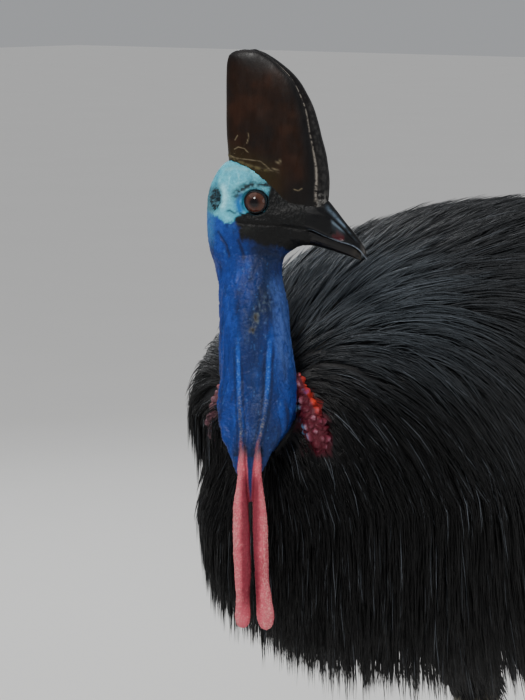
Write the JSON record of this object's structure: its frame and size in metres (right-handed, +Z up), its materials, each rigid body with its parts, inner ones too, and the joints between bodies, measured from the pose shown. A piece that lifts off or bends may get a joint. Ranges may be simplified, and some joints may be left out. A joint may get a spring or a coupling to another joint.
{
  "type": "southern cassowary, life size",
  "caption": "Life-size standing cassowary with a tall casque, bare blue neck, hanging wattles, long shaggy coat and strong scaled legs.",
  "frame": {"origin": "on the floor, at the middle of the bounding box", "axes": "+Z up, the body faces -Y, its left side is at +X"},
  "size_m": [0.5718, 1.0074, 1.284],
  "materials": {
    "coat": "long loose hair-like feathers, satin black",
    "blue_skin": "bare wrinkled skin, vivid blue",
    "pale_skin": "bare fine skin, pale turquoise and black",
    "red_skin": "warty bare skin, crimson",
    "wattle": "soft hanging skin, pink red",
    "casque": "horn, dark brown, fine scratches",
    "bill": "horn, glossy black",
    "eye": "wet, brown iris",
    "leg": "scaled skin, grey brown",
    "claw": "horn, dark grey",
    "quill": "bare quills, black"
  },
  "bodies": {
    "root": {"head": "pale_skin", "casque": "casque", "bill_upper": "bill", "bill_lower": "bill", "eye_left": "eye", "eye_right": "eye", "neck_upper": "blue_skin", "neck_lower": "blue_skin", "wattle_left": "wattle", "wattle_right": "wattle", "neck_patch_left": "red_skin", "neck_patch_right": "red_skin", "torso": "coat", "wing_left": "quill", "wing_right": "quill", "thigh_left": "coat", "shank_left": "leg", "toe_inner_left": "leg", "claw_inner_left": "claw", "toe_middle_left": "leg", "claw_middle_left": "claw", "toe_outer_left": "leg", "claw_outer_left": "claw", "thigh_right": "coat", "shank_right": "leg", "toe_inner_right": "leg", "claw_inner_right": "claw", "toe_middle_right": "leg", "claw_middle_right": "claw", "toe_outer_right": "leg", "claw_outer_right": "claw"}
  },
  "joints": []
}
